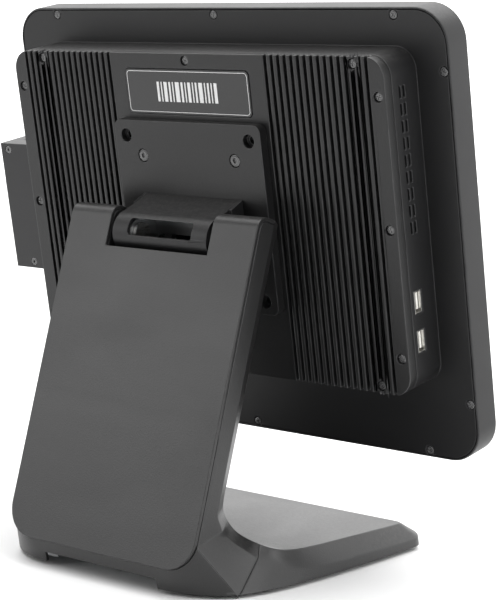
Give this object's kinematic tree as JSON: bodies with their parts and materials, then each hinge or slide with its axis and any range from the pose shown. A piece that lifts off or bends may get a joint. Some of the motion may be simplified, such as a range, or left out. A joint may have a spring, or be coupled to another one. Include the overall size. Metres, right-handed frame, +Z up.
{
  "type": "touch screen point of sale terminal",
  "caption": "Counter-top touch terminal: display head with finned rear computer box and side card reader, tilting on a leaning column with a flat weighted base.",
  "frame": {"origin": "on the counter, at the centre of the stand's footprint, on the stand's plane of symmetry", "axes": "+Z up; the screen faces -Y, towards the operator; +X is to the operator's right, the card reader's side"},
  "size_m": [0.3822, 0.1913, 0.3437],
  "materials": {
    "housing": "fine textured black",
    "stand_shell": "fine textured black with a soft sheen",
    "reader_shell": "smooth black",
    "black_aluminium": "black anodised casting",
    "bare_aluminium": "milled",
    "touch_glass": "gloss, dark tint",
    "panel": "dark screen in a steel edge",
    "foam": "closed-cell foam tape",
    "zinc_steel": "zinc plated sheet",
    "bright_steel": "nickel plated",
    "black_screw": "black oxide",
    "label": "gloss black plate with a pale border",
    "circuit_board": "green solder mask",
    "chip": "moulded black",
    "coin_cell": "bright",
    "socket_tongue": "off-white insulator",
    "lens": "translucent light guide",
    "rubber": "dull"
  },
  "bodies": {
    "stand": {"column_shell": "stand_shell", "column_rear_panel": "stand_shell", "base_cover": "stand_shell", "ballast_plate": "zinc_steel", "rubber_feet": "rubber", "base_screws": "black_screw", "steel_spine": "zinc_steel", "spine_screws": "black_screw", "hinge_yoke": "zinc_steel", "yoke_screws": "black_screw", "hinge_pins": "bright_steel", "disc_springs": "bright_steel", "hinge_nuts": "bright_steel"},
    "head": {"front_frame": "housing", "touch_glass": "touch_glass", "glass_gasket": "foam", "lcd_panel": "panel", "panel_pan": "zinc_steel", "rear_cover": "housing", "heatsink_cover": "black_aluminium", "label_plate": "label", "rear_cover_screws": "black_screw", "heatsink_screws": "black_screw", "main_board": "circuit_board", "board_standoffs": "zinc_steel", "board_screws": "black_screw", "processor": "chip", "heat_block": "bare_aluminium", "memory_module": "circuit_board", "storage_drive": "chip", "coin_cell": "coin_cell", "speakers": "chip", "usb_shells": "bright_steel", "usb_tongues": "socket_tongue", "usb_board": "circuit_board", "port_plate": "zinc_steel", "power_inlet": "bright_steel", "lan_socket": "bright_steel", "usb_stack": "bright_steel", "serial_port": "bright_steel", "video_port": "bright_steel", "button_spring": "bright_steel", "button_switch": "chip", "status_lens": "lens", "reader_rear_housing": "reader_shell", "reader_inner_cheek": "reader_shell", "reader_outer_cheek": "reader_shell", "reader_leaf_spring": "bright_steel", "reader_board": "circuit_board", "reader_screws": "black_screw", "reader_fixing_screws": "black_screw", "mounting_plate": "black_aluminium", "mounting_screws": "black_screw", "hinge_leaf": "zinc_steel", "leaf_screws": "black_screw", "arm_cover": "housing", "arm_underside": "housing"},
    "power_button": {"power_button": "housing"},
    "reader_head": {"reader_head": "bright_steel"}
  },
  "joints": [
    {"name": "head_tilt", "type": "hinge", "parent": "stand", "child": "head", "pos_m": [0, 0.0254, 0.202], "axis": [-1, 0, 0], "range_deg": [-9.5, 60]},
    {"name": "power_press", "type": "slide", "parent": "head", "child": "power_button", "axis": [0, 0.165, 0.9863], "range_m": [0, 0.001], "stiffness_N_per_m": 600, "springref_m": -0.001, "deforming": ["button_spring"]},
    {"name": "read_head_float", "type": "slide", "parent": "head", "child": "reader_head", "axis": [-1, 0, 0], "range_m": [0, 0.0008], "stiffness_N_per_m": 900, "springref_m": -0.0006}
  ]
}
